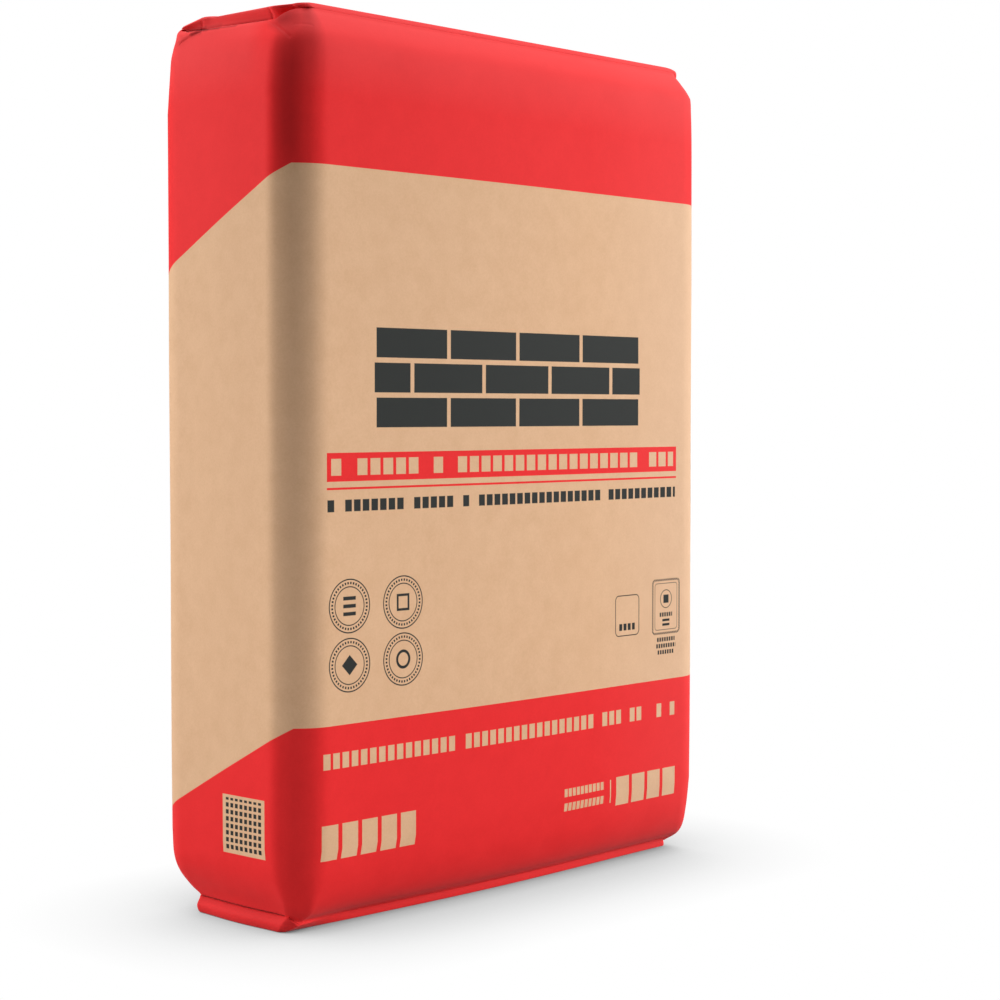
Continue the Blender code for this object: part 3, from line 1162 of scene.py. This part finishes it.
def valveSleeve(material):
    low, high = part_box("valve_sleeve")
    low.x = (valvePocket["lip"] + sleeveShape["behindLip"]) * millimetre
    low.y = (valvePocket["start"][1] + sleeveShape["behindStart"]) * millimetre
    sleeve = bmesh.new()
    bmesh.ops.create_cube(sleeve, size=1.0)
    bmesh.ops.scale(sleeve, vec=high - low, verts=sleeve.verts)
    bmesh.ops.translate(sleeve, vec=(high + low) / 2, verts=sleeve.verts)
    long = [edge for edge in sleeve.edges if abs(edge.verts[0].co.y - edge.verts[1].co.y) > 0.01]
    bmesh.ops.subdivide_edges(sleeve, edges=long, cuts=sleeveShape["cuts"])
    corners = [edge for edge in sleeve.edges if edge.calc_face_angle() > 1]
    bmesh.ops.bevel(sleeve, geom=corners, offset=sleeveShape["bevel"] * millimetre, segments=2,
                    profile=0.5, affect="EDGES", material=-1)
    for vert in sleeve.verts:
        if vert.co.x < (low.x + high.x) / 2:
            share = smooth(*nearCorner["slant"], vert.co.y / millimetre)
            vert.co.x += topEnd["slant"][creaseLine] * share * millimetre
    piece = finishPiece(sleeve, "valveSleevePaper", material)
    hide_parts("valve_sleeve")
    return piece


web, printMap, seam = rollSack()
closeSack(web, printMap, seam)
sack = finishPiece(web, "sackPaper", printedPaper())
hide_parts("sack")
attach(sack, "root")
print("sack rolled:", len(sack.data.polygons), "faces")

sheetPaper = plainPaper("cover sheet paper", 0.8)
for name, node in (("topCoverSheet", "top_sheet"), ("bottomCoverSheet", "bottom_sheet")):
    sheet = coverSheet(name, node, sheetPaper)
    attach(sheet, "root")
sleeve = valveSleeve(plainPaper("valve paper", 0.75))
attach(sleeve, "root")
print("cover sheets and valve sleeve made")

# The studio
studio = {
    "cameraPlace": (-0.90507, -0.91006, 0.28201),
    "cameraYaw": 46.259,
    "cameraPitch": 2.374,
    "lens": 76.81,
    "sideLight": {"place": (-1.42, 1.46, 0.72), "size": (0.9, 1.0), "watts": 36.5},
    "frontLight": {"place": (1.54, -1.32, 0.65), "size": (0.9, 1.0), "watts": 42.0},
    "lowCard": {"place": (-0.40, -0.32, 0.13), "size": (0.26, 0.24), "watts": 0.30},
    "topLight": {"place": (0.0, 0.0, 2.2), "size": (1.6, 1.6), "watts": 34},
    "ambient": 0.012,
    "floorRadius": 6.0,
    "floorBounce": 0.48,            # how much light the floor throws back on the sack
    "shadowReach": 0.10,
    "shadowStops": [(0.0, 0.04), (0.25, 0.45), (0.6, 0.74), (0.82, 0.91), (1.0, 1.0)],
}


def addCamera():
    camera = addObject("camera", bpy.data.cameras.new("camera"))
    camera.location = studio["cameraPlace"]
    camera.rotation_euler = (radians(90 - studio["cameraPitch"]), 0, -radians(studio["cameraYaw"]))
    camera.data.lens = studio["lens"]
    camera.data.sensor_width = 36.0
    bpy.context.scene.camera = camera


def addLight(name, target):
    facts = studio[name]
    lamp = bpy.data.lights.new(name, "AREA")
    lamp.shape = "RECTANGLE"
    lamp.size, lamp.size_y = facts["size"]
    lamp.energy = facts["watts"]
    light = addObject(name, lamp)
    light.location = facts["place"]
    light.rotation_euler = (target - light.location).to_track_quat("-Z", "Y").to_euler()
    light.visible_camera = False


def addFloor():
    # Evenly white but for the soft shadow round the foot, and it throws less light
    # back on the sack than it shows
    floor = bmesh.new()
    bmesh.ops.create_circle(floor, cap_ends=True, segments=96, radius=studio["floorRadius"])
    nodes = Nodes("pale floor", 0.9)
    shadow = nodes.add("ShaderNodeAmbientOcclusion", {"samples": 16},
                       {"Distance": studio["shadowReach"]}, output=1)
    lit = nodes.add("ShaderNodeValToRGB", {"stops": studio["shadowStops"]}, {0: shadow})
    seen = nodes.add("ShaderNodeLightPath")
    glow = nodes.add("ShaderNodeEmission", None, {"Color": lit, "Strength": 1.0})
    grey = studio["floorBounce"]
    bounce = nodes.add("ShaderNodeBsdfDiffuse", None, {"Color": (grey, grey, grey, 1)})
    both = nodes.add("ShaderNodeMixShader", None, {0: seen, 1: bounce, 2: glow})
    nodes.feed(nodes.tree.nodes["Material Output"].inputs["Surface"], both)
    piece = finishPiece(floor, "floor", nodes.material)


def addWorld():
    world = bpy.data.worlds.new("studio")
    bpy.context.scene.world = world
    world.use_nodes = True
    tree = world.node_tree
    backdrop = tree.nodes["Background"]
    backdrop.inputs["Color"].default_value = (1, 1, 1, 1)
    backdrop.inputs["Strength"].default_value = 1.0
    ambient = tree.nodes.new("ShaderNodeBackground")
    ambient.inputs["Strength"].default_value = studio["ambient"]
    seen = tree.nodes.new("ShaderNodeLightPath")
    mix = tree.nodes.new("ShaderNodeMixShader")
    tree.links.new(seen.outputs["Is Camera Ray"], mix.inputs[0])
    tree.links.new(ambient.outputs[0], mix.inputs[1])
    tree.links.new(backdrop.outputs[0], mix.inputs[2])
    tree.links.new(mix.outputs[0], tree.nodes["World Output"].inputs["Surface"])


addCamera()
for name in ("sideLight", "frontLight", "topLight", "lowCard"):
    addLight(name, Vector((0, 0, midHeight)))
addFloor()
addWorld()
bpy.context.scene.view_settings.view_transform = "Standard"
print("studio set")
